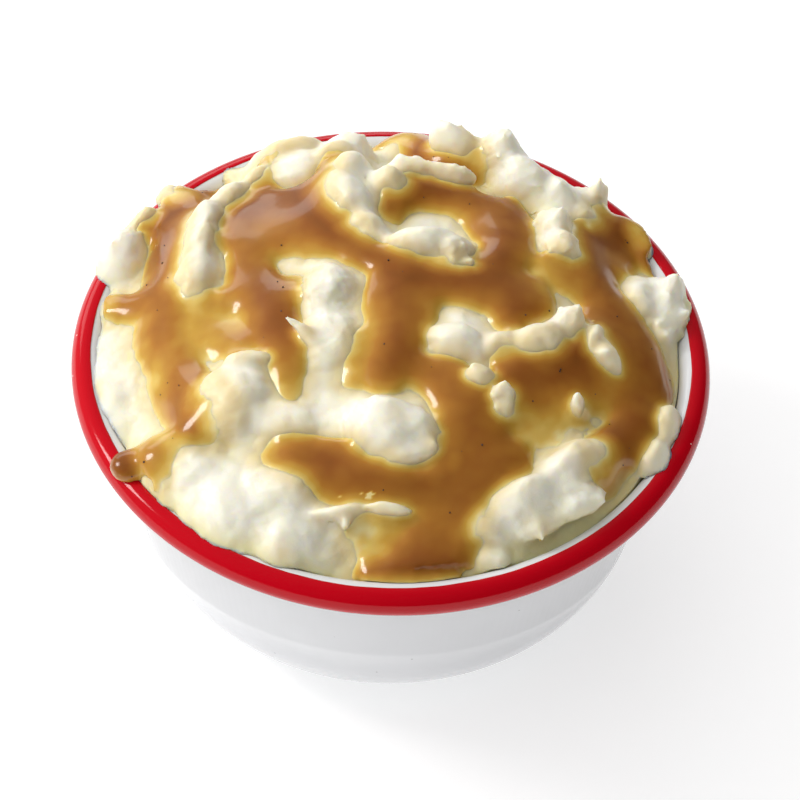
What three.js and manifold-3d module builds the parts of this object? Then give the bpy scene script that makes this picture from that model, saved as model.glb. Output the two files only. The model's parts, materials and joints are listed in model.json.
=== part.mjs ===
// A side of mashed potato in its small enamelled bowl, with brown gravy poured over the heap.
// Millimetres, +Z up, origin at the centre of the bowl's base.
//
// Three kinds of solid: the steel bowl with its rolled rim, the mash heaped in it, and the
// gravy lying in the hollows of the heap. Heap heights are counted from the rim's centre plane.

import * as THREE from 'three';
import { mergeVertices } from 'three/addons/utils/BufferGeometryUtils.js';
import Module from 'manifold-3d';

// ---------------------------------------------------------------- driving dimensions

const RIM_RADIUS = 60;          // outside of the rolled rim
const BEAD_RADIUS = 3;          // radius of the roll itself
const RIM_HEIGHT = 49.2;        // base to the centre of the roll
const WALL = 1;                 // steel with enamel on both sides
const WALL_LEAN = 79.5;         // angle of the wall from level, degrees
const CORNER_RADIUS = 21.7;     // outside radius between base and wall
const GAP = 0.3;                // clearance between the pieces that touch
const SECTORS = 60;             // flats round the bowl

const HEAP_RADIUS = 56.5;       // where the heap's shoulder would meet the rim plane
const HEAP_FOOT = -4;           // height of the heap's edge, from the rim plane
const HEAP_RISE = 21;           // height of the plain heap above its edge
const HEAP_FULLNESS = 0.6;      // below 1 the heap has steep sides and a flat back
const BLEND = 0.9;              // how softly the lobes run into each other
const LOBE_FALL = 0.8;          // a lobe falls by this share of its half-width at its outline
const GRID = 3.5;               // spacing of the surface grid
const LOBE_LIMIT = 59.6;        // no lobe reaches past the outside of the rim

const GRAVY_SETTLE = 3;         // gravy evens out hollows of this radius
const GRAVY_EDGE_FALL = 3;      // how far the gravy's skin dips under the mash past its edge
const GRAVY_RAISE = 1.6 * GAP;  // upward clearance that keeps the gap on the slopes too

// ---------------------------------------------------------------- lobes of the heap
// x, y: middle of the lobe; long, wide: half-lengths; turn: of the long one from +X, degrees;
// top: height of its crest above the rim plane.

const LOBES = [
  { name: 'left rim lobe', x: -53, y: 21, long: 11, wide: 6, turn: 75, top: 6 },
  { name: 'left wall lobe', x: -47, y: -14, long: 15, wide: 6, turn: 103, top: 3 },
  { name: 'tall left ridge', x: -37.5, y: 13, long: 15, wide: 5.5, turn: 92, top: 15.5 },
  { name: 'ridge back end', x: -30, y: 34, long: 9, wide: 5, turn: 50, top: 13.5 },
  { name: 'back left lobe', x: -19, y: 38, long: 11, wide: 8, turn: 10, top: 14.5 },
  { name: 'back left edge', x: -17, y: 47, long: 12, wide: 5, turn: 10, top: 12.5 },
  { name: 'back edge', x: -6, y: 47, long: 8, wide: 5, turn: 0, top: 14.5 },
  { name: 'back crest', x: 6, y: 45, long: 8, wide: 5, turn: -20, top: 18.5 },
  { name: 'crown lobe', x: -7, y: 25, long: 13, wide: 7, turn: 110, top: 21.5 },
  { name: 'crown shoulder', x: -1, y: 31, long: 6, wide: 5, turn: 0, top: 20 },
  { name: 'crown knob', x: 7, y: 13, long: 10, wide: 6.5, turn: 5, top: 22.5 },
  { name: 'back ridge', x: 8, y: 36, long: 11, wide: 3.5, turn: -10, top: 18.5 },
  { name: 'back right crest', x: 19, y: 41, long: 11, wide: 9, turn: -35, top: 18.5 },
  { name: 'back right shoulder', x: 29, y: 33, long: 8, wide: 7, turn: -50, top: 16 },
  { name: 'back right ear', x: 38, y: 36, long: 4, wide: 3, turn: 45, top: 13.5 },
  { name: 'right curd ridge', x: 31, y: 21, long: 9, wide: 5, turn: 105, top: 17.5 },
  { name: 'right rim lobe', x: 49.5, y: 10, long: 13, wide: 7, turn: 80, top: 10.5 },
  { name: 'right corner', x: 53, y: 14, long: 5, wide: 4, turn: 80, top: 8.5 },
  { name: 'middle pillar', x: -12, y: -5, long: 11, wide: 6.5, turn: 95, top: 21 },
  { name: 'left middle lump', x: -27, y: -24, long: 9.5, wide: 8, turn: 20, top: 17 },
  { name: 'crescent head', x: 13, y: -10, long: 9, wide: 5, turn: 10, top: 20.5 },
  { name: 'crescent arm', x: 27, y: -5, long: 9, wide: 4, turn: 40, top: 19 },
  { name: 'front ball', x: 1, y: -30, long: 11, wide: 8, turn: -5, top: 19 },
  { name: 'front ball lip', x: 6, y: -35, long: 8, wide: 3, turn: 25, top: 15.5 },
  { name: 'right shard', x: 38, y: -4, long: 5, wide: 3, turn: 100, top: 16 },
  { name: 'right spur', x: 43, y: -11, long: 7, wide: 3, turn: -50, top: 13.5 },
  { name: 'right edge lobe', x: 49.5, y: -19, long: 9, wide: 4, turn: 70, top: 6 },
  { name: 'front right lobe', x: 28, y: -37, long: 15, wide: 5.5, turn: 35, top: 12.5 },
  { name: 'front right flap', x: 33, y: -41, long: 9, wide: 4, turn: 30, top: 8.5 },
  { name: 'front fold', x: -3, y: -45.5, long: 9, wide: 2.5, turn: 3, top: 11 },
  { name: 'front left lobe', x: -35, y: -36, long: 9, wide: 7, turn: -45, top: 9.5 },
  { name: 'front left swell', x: -25, y: -43, long: 9, wide: 6, turn: -30, top: 10 },
  { name: 'front left knob', x: -18, y: -41, long: 5, wide: 5, turn: 0, top: 12.5 },
];

// ---------------------------------------------------------------- pours of gravy
// route: points that the pour runs through; wide: half-width; deep: depth along its middle.

const POURS = [
  { name: 'left stream', wide: 5, deep: 2.6,
    route: [[-41, 41], [-44, 26], [-44.5, 10], [-43.5, -6], [-39, -17], [-35, -25]] },
  { name: 'left tongue', wide: 4, deep: 2.4, route: [[-45, 5], [-50, 7], [-53, 8]] },
  { name: 'left foot', wide: 5, deep: 2.4, route: [[-33, -27], [-41, -27], [-47, -28.5]] },
  { name: 'upper pool', wide: 8, deep: 3, route: [[-28, 20], [-20, 20], [-11, 18]] },
  { name: 'upper pool head', wide: 5, deep: 2.6, route: [[-27, 30], [-18, 29], [-14, 36]] },
  { name: 'left middle', wide: 6.5, deep: 3,
    route: [[-28, 14], [-26, 4], [-24, -5], [-20, -13], [-17, -20]] },
  { name: 'left branch', wide: 4.5, deep: 2.4, route: [[-42, -2], [-35, -4], [-27, -9]] },
  { name: 'upper link', wide: 4.5, deep: 2.6, route: [[-12, 14], [-4, 9], [3, 5], [10, 2]] },
  { name: 'middle stream', wide: 6, deep: 3, route: [[-1, 8], [0, -3], [1, -12], [1, -18]] },
  { name: 'right pool', wide: 7, deep: 3, route: [[11, 2], [18, 1], [24, 3]] },
  { name: 'upper right stream', wide: 5, deep: 2.8,
    route: [[-1, 27], [5, 29], [13, 28], [20, 26], [23, 19], [21, 9], [20, 3]] },
  { name: 'right stream', wide: 5, deep: 3,
    route: [[46, 34], [40, 27], [38, 18], [39, 9], [44, 2], [47.5, -6], [45, -15], [42, -26]] },
  { name: 'right link', wide: 4.5, deep: 2.4, route: [[24, 5], [31, 12], [38, 11]] },
  { name: 'right middle pool', wide: 6, deep: 2.6,
    route: [[35, -9], [28, -13], [25, -20], [33, -15], [42, -15]] },
  { name: 'front right run', wide: 5.5, deep: 2.6,
    route: [[6, -16], [12, -21], [17, -28], [17, -35]] },
  { name: 'front arc', wide: 5, deep: 2.6,
    route: [[-21, -34], [-11, -38], [0, -40.5], [12, -38], [23, -34]] },
  { name: 'front tail', wide: 6, deep: 2.4, route: [[12, -39], [9, -45], [7, -51]] },
];

// a puddle of its own behind the crown, cut off from the rest by the back ridge
const BACK_POURS = [
  { name: 'back puddle', wide: 5, deep: 2.6, route: [[-2, 40.5], [3, 40.5], [8, 40]] },
];

// the drip that runs off the left foot and over the rim: x, y, half-length, half-width, thickness
const RIM_DRIP = { x: -46, y: -31.5, long: 5.6, wide: 3.6, thick: 3.6, turn: 10, top: 5.4 };
const DROP_SECTORS = 16;
const DROP_RINGS = 10;

// ---------------------------------------------------------------- materials

function finish(colour, roughness) {
  return new THREE.MeshStandardMaterial({ color: colour, roughness, metalness: 0 });
}

const ENAMEL = finish('#e9ebec', 0.2);
const MASH = finish('#e9e4cc', 0.6);
const GRAVY = finish('#a5672c', 0.2);

// ---------------------------------------------------------------- solids

const wasm = await Module();
wasm.setup();

// a closed geometry as a solid that can be joined and cut
function solidOf(geometry) {
  geometry.deleteAttribute('normal');
  geometry.deleteAttribute('uv');
  const merged = mergeVertices(geometry, 1e-4);
  const index = merged.index.array;
  const kept = [];
  for (let i = 0; i < index.length; i += 3) {
    const [a, b, c] = [index[i], index[i + 1], index[i + 2]];
    if (a !== b && b !== c && c !== a) kept.push(a, b, c);
  }
  return new wasm.Manifold(new wasm.Mesh({
    numProp: 3,
    vertProperties: new Float32Array(merged.attributes.position.array),
    triVerts: new Uint32Array(kept),
  }));
}

function geometryOf(solid) {
  const mesh = solid.getMesh();
  const geometry = new THREE.BufferGeometry();
  geometry.setAttribute('position', new THREE.BufferAttribute(mesh.vertProperties, 3));
  geometry.setIndex(new THREE.BufferAttribute(mesh.triVerts, 1));
  geometry.computeVertexNormals();
  return geometry;
}

// a profile of [radius, height] points turned about the Z axis
function turned(profile) {
  const points = profile.map(([r, z]) => new THREE.Vector2(r, z));
  return new THREE.LatheGeometry(points, SECTORS).rotateX(Math.PI / 2);
}

// points on an arc, from one angle to another in degrees
function arc(centre, radius, from, to, steps) {
  const points = [];
  for (let i = 0; i <= steps; i += 1) {
    const angle = THREE.MathUtils.degToRad(from + (to - from) * i / steps);
    points.push([centre[0] + radius * Math.cos(angle), centre[1] + radius * Math.sin(angle)]);
  }
  return points;
}

// ---------------------------------------------------------------- bowl

const BEAD = [RIM_RADIUS - BEAD_RADIUS, RIM_HEIGHT];
const INNER_TANGENT = 90 + WALL_LEAN;    // where the inside of the wall runs onto the roll

// the inside of the wall meets the roll here, and runs down from it at the wall's lean
const leanRad = THREE.MathUtils.degToRad(WALL_LEAN);
const wallTop = [BEAD[0] - BEAD_RADIUS * Math.sin(leanRad), BEAD[1] + BEAD_RADIUS * Math.cos(leanRad)];
const cornerInside = CORNER_RADIUS - WALL;
const cornerEndHeight = CORNER_RADIUS - cornerInside * Math.cos(leanRad);
const cornerX = wallTop[0] - (wallTop[1] - cornerEndHeight) / Math.tan(leanRad)
  - cornerInside * Math.sin(leanRad);
const CORNER = [cornerX, CORNER_RADIUS];  // centre of the round between base and wall

// the inside of the bowl from its middle up to the roll, moved inwards by an offset
function insideLine(offset) {
  return [
    [0, WALL + offset],
    ...arc(CORNER, cornerInside - offset, -90, WALL_LEAN - 90, 5),
  ];
}

// the outside from the middle of the base up to the underside of the roll
const outsideLine = [[0, 0], ...arc(CORNER, CORNER_RADIUS, -90, WALL_LEAN - 90, 5)];

// the roll starts on its underside, where the outside of the wall runs into it
const UNDERSIDE = 218;
const bowlProfile = [
  ...outsideLine,
  ...arc(BEAD, BEAD_RADIUS, UNDERSIDE - 360, INNER_TANGENT, 13),
  ...insideLine(0).reverse(),
];
const bowl = solidOf(turned(bowlProfile));

// all that the food must keep out of: the bowl grown by the gap, and whatever is beyond the rim
const OUTSIDE = 80;
const ABOVE = 100;
const BELOW = -10;
const rimCut = Math.sqrt((BEAD_RADIUS + GAP) ** 2 - (LOBE_LIMIT - BEAD[0]) ** 2);
const rimCutAngle = THREE.MathUtils.radToDeg(Math.atan2(rimCut, LOBE_LIMIT - BEAD[0]));
const keepOut = solidOf(turned([
  [0, BELOW],
  [OUTSIDE, BELOW],
  [OUTSIDE, ABOVE],
  [LOBE_LIMIT, ABOVE],
  ...arc(BEAD, BEAD_RADIUS + GAP, rimCutAngle, INNER_TANGENT, 6),
  ...insideLine(GAP).reverse(),
]));

// ---------------------------------------------------------------- surfaces over the plan

// the plain heap, without lobes
function plainHeap(x, y) {
  const r = Math.hypot(x, y);
  const k = 1 - (r / HEAP_RADIUS) ** 2;
  return k > 0 ? HEAP_FOOT + HEAP_RISE * k ** HEAP_FULLNESS : HEAP_FOOT - 2 * (r - HEAP_RADIUS);
}

// a lobe's height at a place: a dome that falls away by most of its half-width at its outline
function lobeHeight(lobe, x, y) {
  const turn = THREE.MathUtils.degToRad(lobe.turn);
  const dx = x - lobe.x;
  const dy = y - lobe.y;
  const along = (dx * Math.cos(turn) + dy * Math.sin(turn)) / lobe.long;
  const across = (dy * Math.cos(turn) - dx * Math.sin(turn)) / lobe.wide;
  return lobe.top - lobe.wide * LOBE_FALL * (along ** 2 + across ** 2);
}

// the heap with its lobes, each running softly into the next
function heap(x, y) {
  const heights = [plainHeap(x, y), ...LOBES.map((lobe) => lobeHeight(lobe, x, y))];
  const highest = Math.max(...heights);
  const sum = heights.reduce((total, h) => total + Math.exp((h - highest) / BLEND), 0);
  return highest + BLEND * Math.log(sum);
}

// distance from a place to a route of straight stretches
function distanceToRoute(route, x, y) {
  let nearest = Infinity;
  for (let i = 0; i + 1 < route.length; i += 1) {
    const [ax, ay] = route[i];
    const [bx, by] = route[i + 1];
    const t = ((x - ax) * (bx - ax) + (y - ay) * (by - ay)) / ((bx - ax) ** 2 + (by - ay) ** 2);
    const s = THREE.MathUtils.clamp(t, 0, 1);
    nearest = Math.min(nearest, Math.hypot(x - ax - s * (bx - ax), y - ay - s * (by - ay)));
  }
  return nearest;
}

// depth of the gravy above the evened heap, falling below it past the edge of every pour
function gravyDepth(pours, x, y) {
  const depths = pours.map((pour) => {
    const q = distanceToRoute(pour.route, x, y) / pour.wide;
    return pour.deep * (1 - q * q);
  });
  return Math.max(-GRAVY_EDGE_FALL, ...depths);
}

// gravy lies on the heap with its small hollows evened out
function gravySkin(pours, x, y) {
  let evened = heap(x, y);
  const rays = 8;
  for (let i = 0; i < rays; i += 1) {
    const angle = 2 * Math.PI * i / rays;
    evened += heap(x + GRAVY_SETTLE * Math.cos(angle), y + GRAVY_SETTLE * Math.sin(angle));
  }
  return evened / (rays + 1) + gravyDepth(pours, x, y);
}

// a solid under a surface over the plan, down to a flat bottom well below the bowl
function solidUnder(surface, step) {
  const cells = Math.ceil(LOBE_LIMIT / step) * 2;
  const half = cells * step / 2;
  const BOTTOM = -5;
  const positions = [];
  const triangles = [];
  const side = cells + 1;
  for (const top of [true, false]) {
    for (let j = 0; j < side; j += 1) {
      for (let i = 0; i < side; i += 1) {
        const x = i * step - half;
        const y = j * step - half;
        positions.push(x, y, top ? RIM_HEIGHT + surface(x, y) : BOTTOM);
      }
    }
  }
  const under = side * side;
  for (let j = 0; j < cells; j += 1) {
    for (let i = 0; i < cells; i += 1) {
      const a = j * side + i;
      const [b, c, d] = [a + 1, a + side + 1, a + side];
      triangles.push(a, b, c, a, c, d);
      triangles.push(under + a, under + c, under + b, under + a, under + d, under + c);
    }
  }
  for (let i = 0; i < cells; i += 1) {
    const edges = [
      [i, i + 1],
      [i * side + cells, (i + 1) * side + cells],
      [cells * side + i + 1, cells * side + i],
      [(i + 1) * side, i * side],
    ];
    for (const [a, b] of edges) {
      triangles.push(a, under + a, under + b, a, under + b, b);
    }
  }
  const geometry = new THREE.BufferGeometry();
  geometry.setAttribute('position', new THREE.Float32BufferAttribute(positions, 3));
  geometry.setIndex(triangles);
  return solidOf(geometry);
}

// the main piece of a solid; the crumbs that a cut leaves are dropped
function largest(solid) {
  return solid.decompose().sort((a, b) => b.volume() - a.volume())[0];
}

// ---------------------------------------------------------------- mash

const mash = largest(solidUnder(heap, GRID).subtract(keepOut));

// ---------------------------------------------------------------- gravy

// the mash as the gravy meets it
const raisedHeap = solidUnder((x, y) => heap(x, y) + GRAVY_RAISE, GRID);

function rimDrip() {
  const { x, y, long, wide, thick, turn, top } = RIM_DRIP;
  const drop = new THREE.SphereGeometry(1, DROP_SECTORS, DROP_RINGS);
  drop.rotateX(Math.PI / 2);
  drop.scale(long, wide, thick);
  drop.rotateZ(THREE.MathUtils.degToRad(turn));
  drop.translate(x, y, RIM_HEIGHT + top - thick);
  return solidOf(drop);
}

function poured(pours) {
  return solidUnder((x, y) => gravySkin(pours, x, y), GRID);
}

const gravy = largest(poured(POURS).add(rimDrip()).subtract(raisedHeap).subtract(keepOut));
const backPuddle = largest(poured(BACK_POURS).subtract(raisedHeap).subtract(keepOut));

// ---------------------------------------------------------------- the whole

function piece(name, solid, material) {
  const mesh = new THREE.Mesh(geometryOf(solid), material);
  mesh.name = name;
  return mesh;
}

const side = new THREE.Group();
side.add(piece('bowl', bowl, ENAMEL));
side.add(piece('mash', mash, MASH));
side.add(piece('gravy', gravy, GRAVY));
side.add(piece('gravy_back_puddle', backPuddle, GRAVY));

export default side;
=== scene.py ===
import json
import math
import random

import bpy
import numpy as np
from mathutils import Euler, Matrix, Vector, noise
from mathutils.bvhtree import BVHTree

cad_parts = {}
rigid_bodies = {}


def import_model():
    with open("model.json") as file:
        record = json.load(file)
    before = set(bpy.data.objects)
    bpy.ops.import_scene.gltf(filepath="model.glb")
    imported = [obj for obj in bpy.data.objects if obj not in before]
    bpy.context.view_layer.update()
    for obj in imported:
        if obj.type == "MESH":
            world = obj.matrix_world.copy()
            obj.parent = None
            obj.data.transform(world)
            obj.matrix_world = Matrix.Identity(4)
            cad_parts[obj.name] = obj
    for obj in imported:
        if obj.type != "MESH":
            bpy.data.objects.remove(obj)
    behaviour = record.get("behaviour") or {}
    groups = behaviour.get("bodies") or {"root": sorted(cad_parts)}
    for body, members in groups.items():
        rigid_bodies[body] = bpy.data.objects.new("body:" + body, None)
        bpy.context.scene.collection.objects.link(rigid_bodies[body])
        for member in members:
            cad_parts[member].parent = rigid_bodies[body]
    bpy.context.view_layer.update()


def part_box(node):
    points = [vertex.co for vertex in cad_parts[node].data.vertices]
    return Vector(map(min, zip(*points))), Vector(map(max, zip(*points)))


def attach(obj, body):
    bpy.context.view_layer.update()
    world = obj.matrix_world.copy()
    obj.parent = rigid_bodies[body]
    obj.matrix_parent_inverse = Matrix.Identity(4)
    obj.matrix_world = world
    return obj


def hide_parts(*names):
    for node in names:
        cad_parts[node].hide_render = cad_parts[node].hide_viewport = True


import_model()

MM = 0.001


# ---------------------------------------------------------------- camera
# Looks down on the heap from the side it is served from, from standing height over a table.
# The lens is long and the camera is turned a little about its own axis.

bowl_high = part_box("bowl")[1]
RIM_RADIUS = bowl_high.x
ROLL_RADIUS = 3.0 * MM
RIM_HEIGHT = bowl_high.z - ROLL_RADIUS

look_down = math.radians(48.63)
camera_turn = math.radians(2.65)
forward = Vector((0, math.cos(look_down), -math.sin(look_down)))
across = Vector((1, 0, 0))
upward = across.cross(forward)
camera_x = across * math.cos(camera_turn) + upward * math.sin(camera_turn)
camera_y = upward * math.cos(camera_turn) - across * math.sin(camera_turn)
aim = Vector((0, 0, RIM_HEIGHT)) + across * 1.99 * MM - upward * 7.25 * MM
camera_place = aim - forward * 12 * RIM_RADIUS

bpy.ops.object.select_all(action="DESELECT")
bpy.ops.object.camera_add(location=camera_place)
camera = bpy.context.object
camera.name = "camera"
axes = Matrix((camera_x, camera_y, -forward)).transposed()
camera.rotation_euler = axes.to_euler()
camera.data.lens = 172.3
camera.data.sensor_width = 36
camera.data.clip_start = 0.05
camera.data.clip_end = 20
bpy.context.scene.camera = camera


# ---------------------------------------------------------------- bowl
# A small pie bowl pressed from thin sheet steel, its edge rolled outwards into a bead, and dipped
# in white enamel that pools glossy over the round between base and wall.
# The line of its section is drawn point by point and spun round the bowl's axis.

WALL = 1.0 * MM
WALL_LEAN = math.radians(79.5)
CORNER_RADIUS = 21.7 * MM
COAT = 0.12 * MM            # the red coat lies on the white one, so the white roll is this much thinner
BEAD = (RIM_RADIUS - ROLL_RADIUS, RIM_HEIGHT)


def arc(centre, radius, start, end, steps):
    """Points on an arc from one angle to another, in degrees."""
    angles = [math.radians(start + (end - start) * i / steps) for i in range(steps + 1)]
    return [(centre[0] + radius * math.cos(a), centre[1] + radius * math.sin(a)) for a in angles]


def turned(name, line, steps=200):
    """A closed piece spun from a line of (radius, height) points."""
    bpy.ops.object.select_all(action="DESELECT")
    bpy.ops.mesh.primitive_plane_add(size=MM, location=(0, 0, 0))
    piece = bpy.context.object
    piece.name = piece.data.name = name
    bpy.ops.object.mode_set(mode="EDIT")
    bpy.ops.mesh.select_all(action="SELECT")
    bpy.ops.mesh.merge(type="CENTER")
    bpy.ops.transform.translate(value=(line[0][0], 0, line[0][1]))
    for (r0, z0), (r1, z1) in zip(line, line[1:]):
        bpy.ops.mesh.extrude_vertices_move(TRANSFORM_OT_translate={"value": (r1 - r0, 0, z1 - z0)})
    bpy.ops.mesh.select_all(action="SELECT")
    bpy.ops.mesh.spin(steps=steps, angle=2 * math.pi, center=(0, 0, 0), axis=(0, 0, 1))
    bpy.ops.mesh.select_all(action="SELECT")
    bpy.ops.mesh.remove_doubles(threshold=1e-6)
    bpy.ops.mesh.normals_make_consistent(inside=False)
    bpy.ops.object.mode_set(mode="OBJECT")
    bpy.ops.object.shade_smooth()
    return piece


lean_deg = math.degrees(WALL_LEAN)
wall_top = (BEAD[0] - ROLL_RADIUS * math.sin(WALL_LEAN), BEAD[1] + ROLL_RADIUS * math.cos(WALL_LEAN))
corner_inside = CORNER_RADIUS - WALL
corner_end = CORNER_RADIUS - corner_inside * math.cos(WALL_LEAN)
corner_x = wall_top[0] - (wall_top[1] - corner_end) / math.tan(WALL_LEAN) \
    - corner_inside * math.sin(WALL_LEAN)
CORNER = (corner_x, CORNER_RADIUS)


def inner_radius(height):
    """Radius of the bowl's inside at a height above the base, on the straight part of its wall."""
    return wall_top[0] - (wall_top[1] - height) / math.tan(WALL_LEAN)


bowl_line = [(0, 0), (corner_x * 0.5, 0)]
bowl_line += arc(CORNER, CORNER_RADIUS, -90, lean_deg - 90, 24)
bowl_line += arc(BEAD, ROLL_RADIUS - COAT, 218 - 360, 90 + lean_deg, 40)
bowl_line += arc(CORNER, corner_inside, lean_deg - 90, -90, 24)
bowl_line += [(corner_x * 0.5, WALL), (0, WALL)]
bowl = turned("enamel_bowl", bowl_line)


def math_node(tree, operation):
    """A Math node of one operation."""
    node = tree.nodes.new("ShaderNodeMath")
    node.operation = operation
    return node


def enamel(name, colour, speck_colour, speck_share, shine=0.5):
    """Glossy fired enamel: a little uneven in colour and level, with fine specks."""
    material = bpy.data.materials.new(name)
    material.use_nodes = True
    tree = material.node_tree
    shader = tree.nodes["Principled BSDF"]
    place = tree.nodes.new("ShaderNodeTexCoord")

    specks = tree.nodes.new("ShaderNodeTexVoronoi")
    specks.inputs["Scale"].default_value = 1 / (1.6 * MM)
    tree.links.new(place.outputs["Object"], specks.inputs["Vector"])
    near = math_node(tree, "LESS_THAN")
    near.inputs[1].default_value = 0.11
    tree.links.new(specks.outputs["Distance"], near.inputs[0])
    chosen = math_node(tree, "LESS_THAN")
    chosen.inputs[1].default_value = speck_share
    parts = tree.nodes.new("ShaderNodeSeparateColor")
    tree.links.new(specks.outputs["Color"], parts.inputs["Color"])
    tree.links.new(parts.outputs["Red"], chosen.inputs[0])
    speck = math_node(tree, "MULTIPLY")
    tree.links.new(near.outputs[0], speck.inputs[0])
    tree.links.new(chosen.outputs[0], speck.inputs[1])

    cloud = tree.nodes.new("ShaderNodeTexNoise")
    cloud.inputs["Scale"].default_value = 1 / (14 * MM)
    cloud.inputs["Detail"].default_value = 2
    tree.links.new(place.outputs["Object"], cloud.inputs["Vector"])
    shade = tree.nodes.new("ShaderNodeMix")
    shade.data_type = "RGBA"
    shade.inputs["A"].default_value = (*[c * 0.93 for c in colour], 1)
    shade.inputs["B"].default_value = (*colour, 1)
    tree.links.new(cloud.outputs["Fac"], shade.inputs["Factor"])
    specked = tree.nodes.new("ShaderNodeMix")
    specked.data_type = "RGBA"
    specked.inputs["B"].default_value = (*speck_colour, 1)
    tree.links.new(speck.outputs[0], specked.inputs["Factor"])
    tree.links.new(shade.outputs["Result"], specked.inputs["A"])
    tree.links.new(specked.outputs["Result"], shader.inputs["Base Color"])

    ripple = tree.nodes.new("ShaderNodeTexNoise")
    ripple.inputs["Scale"].default_value = 1 / (3.5 * MM)
    ripple.inputs["Detail"].default_value = 1
    tree.links.new(place.outputs["Object"], ripple.inputs["Vector"])
    bump = tree.nodes.new("ShaderNodeBump")
    bump.inputs["Strength"].default_value = 0.35
    bump.inputs["Distance"].default_value = 0.05 * MM
    tree.links.new(ripple.outputs["Fac"], bump.inputs["Height"])
    tree.links.new(bump.outputs["Normal"], shader.inputs["Normal"])
    shader.inputs["Roughness"].default_value = 0.10
    shader.inputs["Specular IOR Level"].default_value = shine
    return material


white_enamel = enamel("white_enamel", (0.76, 0.77, 0.79), (0.45, 0.45, 0.46), 0.02)
bowl.data.materials.append(white_enamel)
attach(bowl, "root")
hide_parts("bowl")


# ---------------------------------------------------------------- rim coat
# The rolled edge is dipped once more, in red enamel. The coat covers the roll from just inside
# its top, over the outside, to its underside, and its two edges wander a little.
# A thin crescent spun round the roll.

COAT_INSIDE = 92            # degrees round the roll from outwards and level
COAT_UNDER = -128


def coat_line():
    outer = arc(BEAD, ROLL_RADIUS, COAT_UNDER, COAT_INSIDE, 44)
    inner = arc(BEAD, ROLL_RADIUS - 2.5 * COAT, COAT_INSIDE, COAT_UNDER, 44)
    return outer + inner + outer[:1]


rim_coat = turned("red_rim_coat", coat_line(), steps=240)
middle_angle = math.radians((COAT_INSIDE + COAT_UNDER) / 2)
for vertex in rim_coat.data.vertices:
    round_bowl = math.atan2(vertex.co.y, vertex.co.x)
    r = math.hypot(vertex.co.x, vertex.co.y) - BEAD[0]
    h = vertex.co.z - BEAD[1]
    round_roll = math.atan2(h, r)
    ring = Vector((math.cos(round_bowl), math.sin(round_bowl), 0))
    wander = noise.noise(ring * 5) * 0.035 + noise.noise(ring * 17) * 0.012
    off_middle = round_roll - middle_angle
    if off_middle > 0:
        wander += 0.11 * ring.x ** 2    # the dip went deeper at the left and right
    moved = middle_angle + off_middle * (1 + wander)
    depth = math.hypot(r, h)
    vertex.co = ring * (BEAD[0] + depth * math.cos(moved))
    vertex.co.z = BEAD[1] + depth * math.sin(moved)

red_enamel = enamel("red_enamel", (0.52, 0.0005, 0.008), (0.75, 0.45, 0.42), 0.04, shine=0.3)
rim_coat.data.materials.append(red_enamel)
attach(rim_coat, "root")


# ---------------------------------------------------------------- mash
# Potato mashed with butter and milk and heaped by the spoonful: soft lobes folded over each
# other, torn crests and curds where the spoon let go, and a fine grain all over.
# Lobes, folds, curds and torn tips are pushed into a plain heap, grown together by a remesh,
# and roughened by displacement from coarse to fine.

HEAP_RADIUS = 56.5
HEAP_FOOT = -4.5
HEAP_RISE = 21
HEAP_FULLNESS = 0.6

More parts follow.
